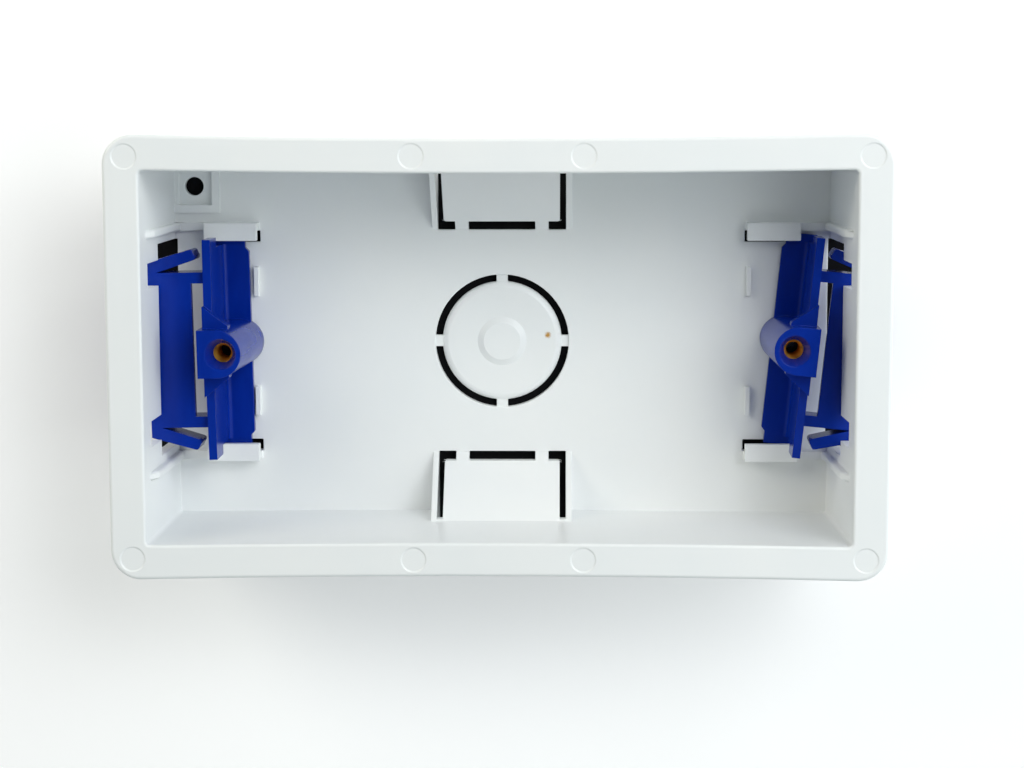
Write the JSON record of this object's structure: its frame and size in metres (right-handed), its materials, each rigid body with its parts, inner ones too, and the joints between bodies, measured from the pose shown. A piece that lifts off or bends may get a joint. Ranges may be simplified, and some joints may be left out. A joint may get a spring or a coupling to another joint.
{
  "type": "drywall back box",
  "caption": "Shallow flanged back box for plasterboard walls, open at the front, with sliding screw lugs, a round knock-out and sloped cable entries.",
  "frame": {"origin": "centre of the outer rear face, where the box lies on its back", "axes": "+X along the long side, +Y along the short side, +Z out of the open front"},
  "size_m": [0.1431, 0.0818, 0.035],
  "materials": {
    "white_plastic": "satin moulded plastic",
    "blue_plastic": "semi-gloss moulded plastic",
    "brass": "turned"
  },
  "bodies": {
    "box": {"back_box": "white_plastic"},
    "left_lug": {"fixing_lug_left": "blue_plastic", "thread_insert_left": "brass"},
    "right_lug": {"fixing_lug_right": "blue_plastic", "thread_insert_right": "brass"}
  },
  "joints": [
    {"name": "left_lug_slide", "type": "slide", "parent": "box", "child": "left_lug", "axis": [-1, 0, 0], "range_m": [0, 0.0077]},
    {"name": "right_lug_slide", "type": "slide", "parent": "box", "child": "right_lug", "axis": [1, 0, 0], "range_m": [-0.0022, 0.0024]}
  ]
}
